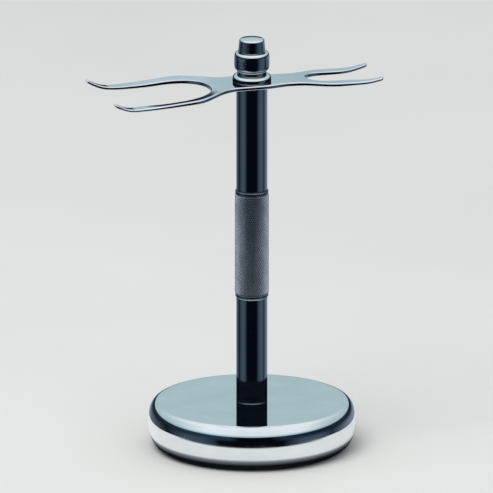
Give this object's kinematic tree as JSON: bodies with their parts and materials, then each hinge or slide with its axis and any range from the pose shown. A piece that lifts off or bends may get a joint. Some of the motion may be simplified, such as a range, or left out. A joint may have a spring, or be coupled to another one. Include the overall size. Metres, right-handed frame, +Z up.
{
  "type": "shaving stand",
  "caption": "Chrome shaving stand with a weighted round base, a knurled column and a swivelling plate with a wide brush fork and a narrow razor fork, held by a screw-down finial.",
  "frame": {"origin": "centre of the base's underside, on the surface the stand rests on and on the column's axis", "axes": "+Z up along the column, brush fork towards -X and razor fork towards +X at rest, +Y across the forks"},
  "size_m": [0.1025, 0.074, 0.1511],
  "materials": {
    "chrome": "mirror-polished chrome plate",
    "plate_chrome": "polished chrome plate over pressed steel",
    "knurled_chrome": "chrome plate over a fine diamond knurl",
    "steel": "zinc-plated, turned",
    "cast_iron": "as cast",
    "rubber": "matt, fine-grained"
  },
  "bodies": {
    "stand": {"base_pad": "rubber", "base_weight": "cast_iron", "base_shell": "chrome", "base_screw": "steel", "base_washer": "steel", "lower_column": "chrome", "lower_stud": "steel", "grip_section": "knurled_chrome", "upper_stud": "steel", "upper_column": "chrome", "finial_stud": "steel"},
    "fork": {"fork_plate": "plate_chrome"},
    "washer": {"clamp_washer": "chrome"},
    "knob": {"finial": "chrome"}
  },
  "joints": [
    {"name": "fork_swivel", "type": "hinge", "parent": "stand", "child": "fork", "pos_m": [0, 0, 0.1345], "axis": [0, 0, 1], "continuous": true},
    {"name": "finial_lift", "type": "slide", "parent": "stand", "child": "washer", "axis": [0, 0, 1], "range_m": [0, 0.0064]},
    {"name": "finial_turn", "type": "hinge", "parent": "washer", "child": "knob", "pos_m": [0, 0, 0.141], "axis": [0, 0, 1], "range_deg": [0, 2880]}
  ],
  "couplings": [
    {"joint": "finial_turn", "follows": "finial_lift", "rad_per_m": 7854}
  ]
}
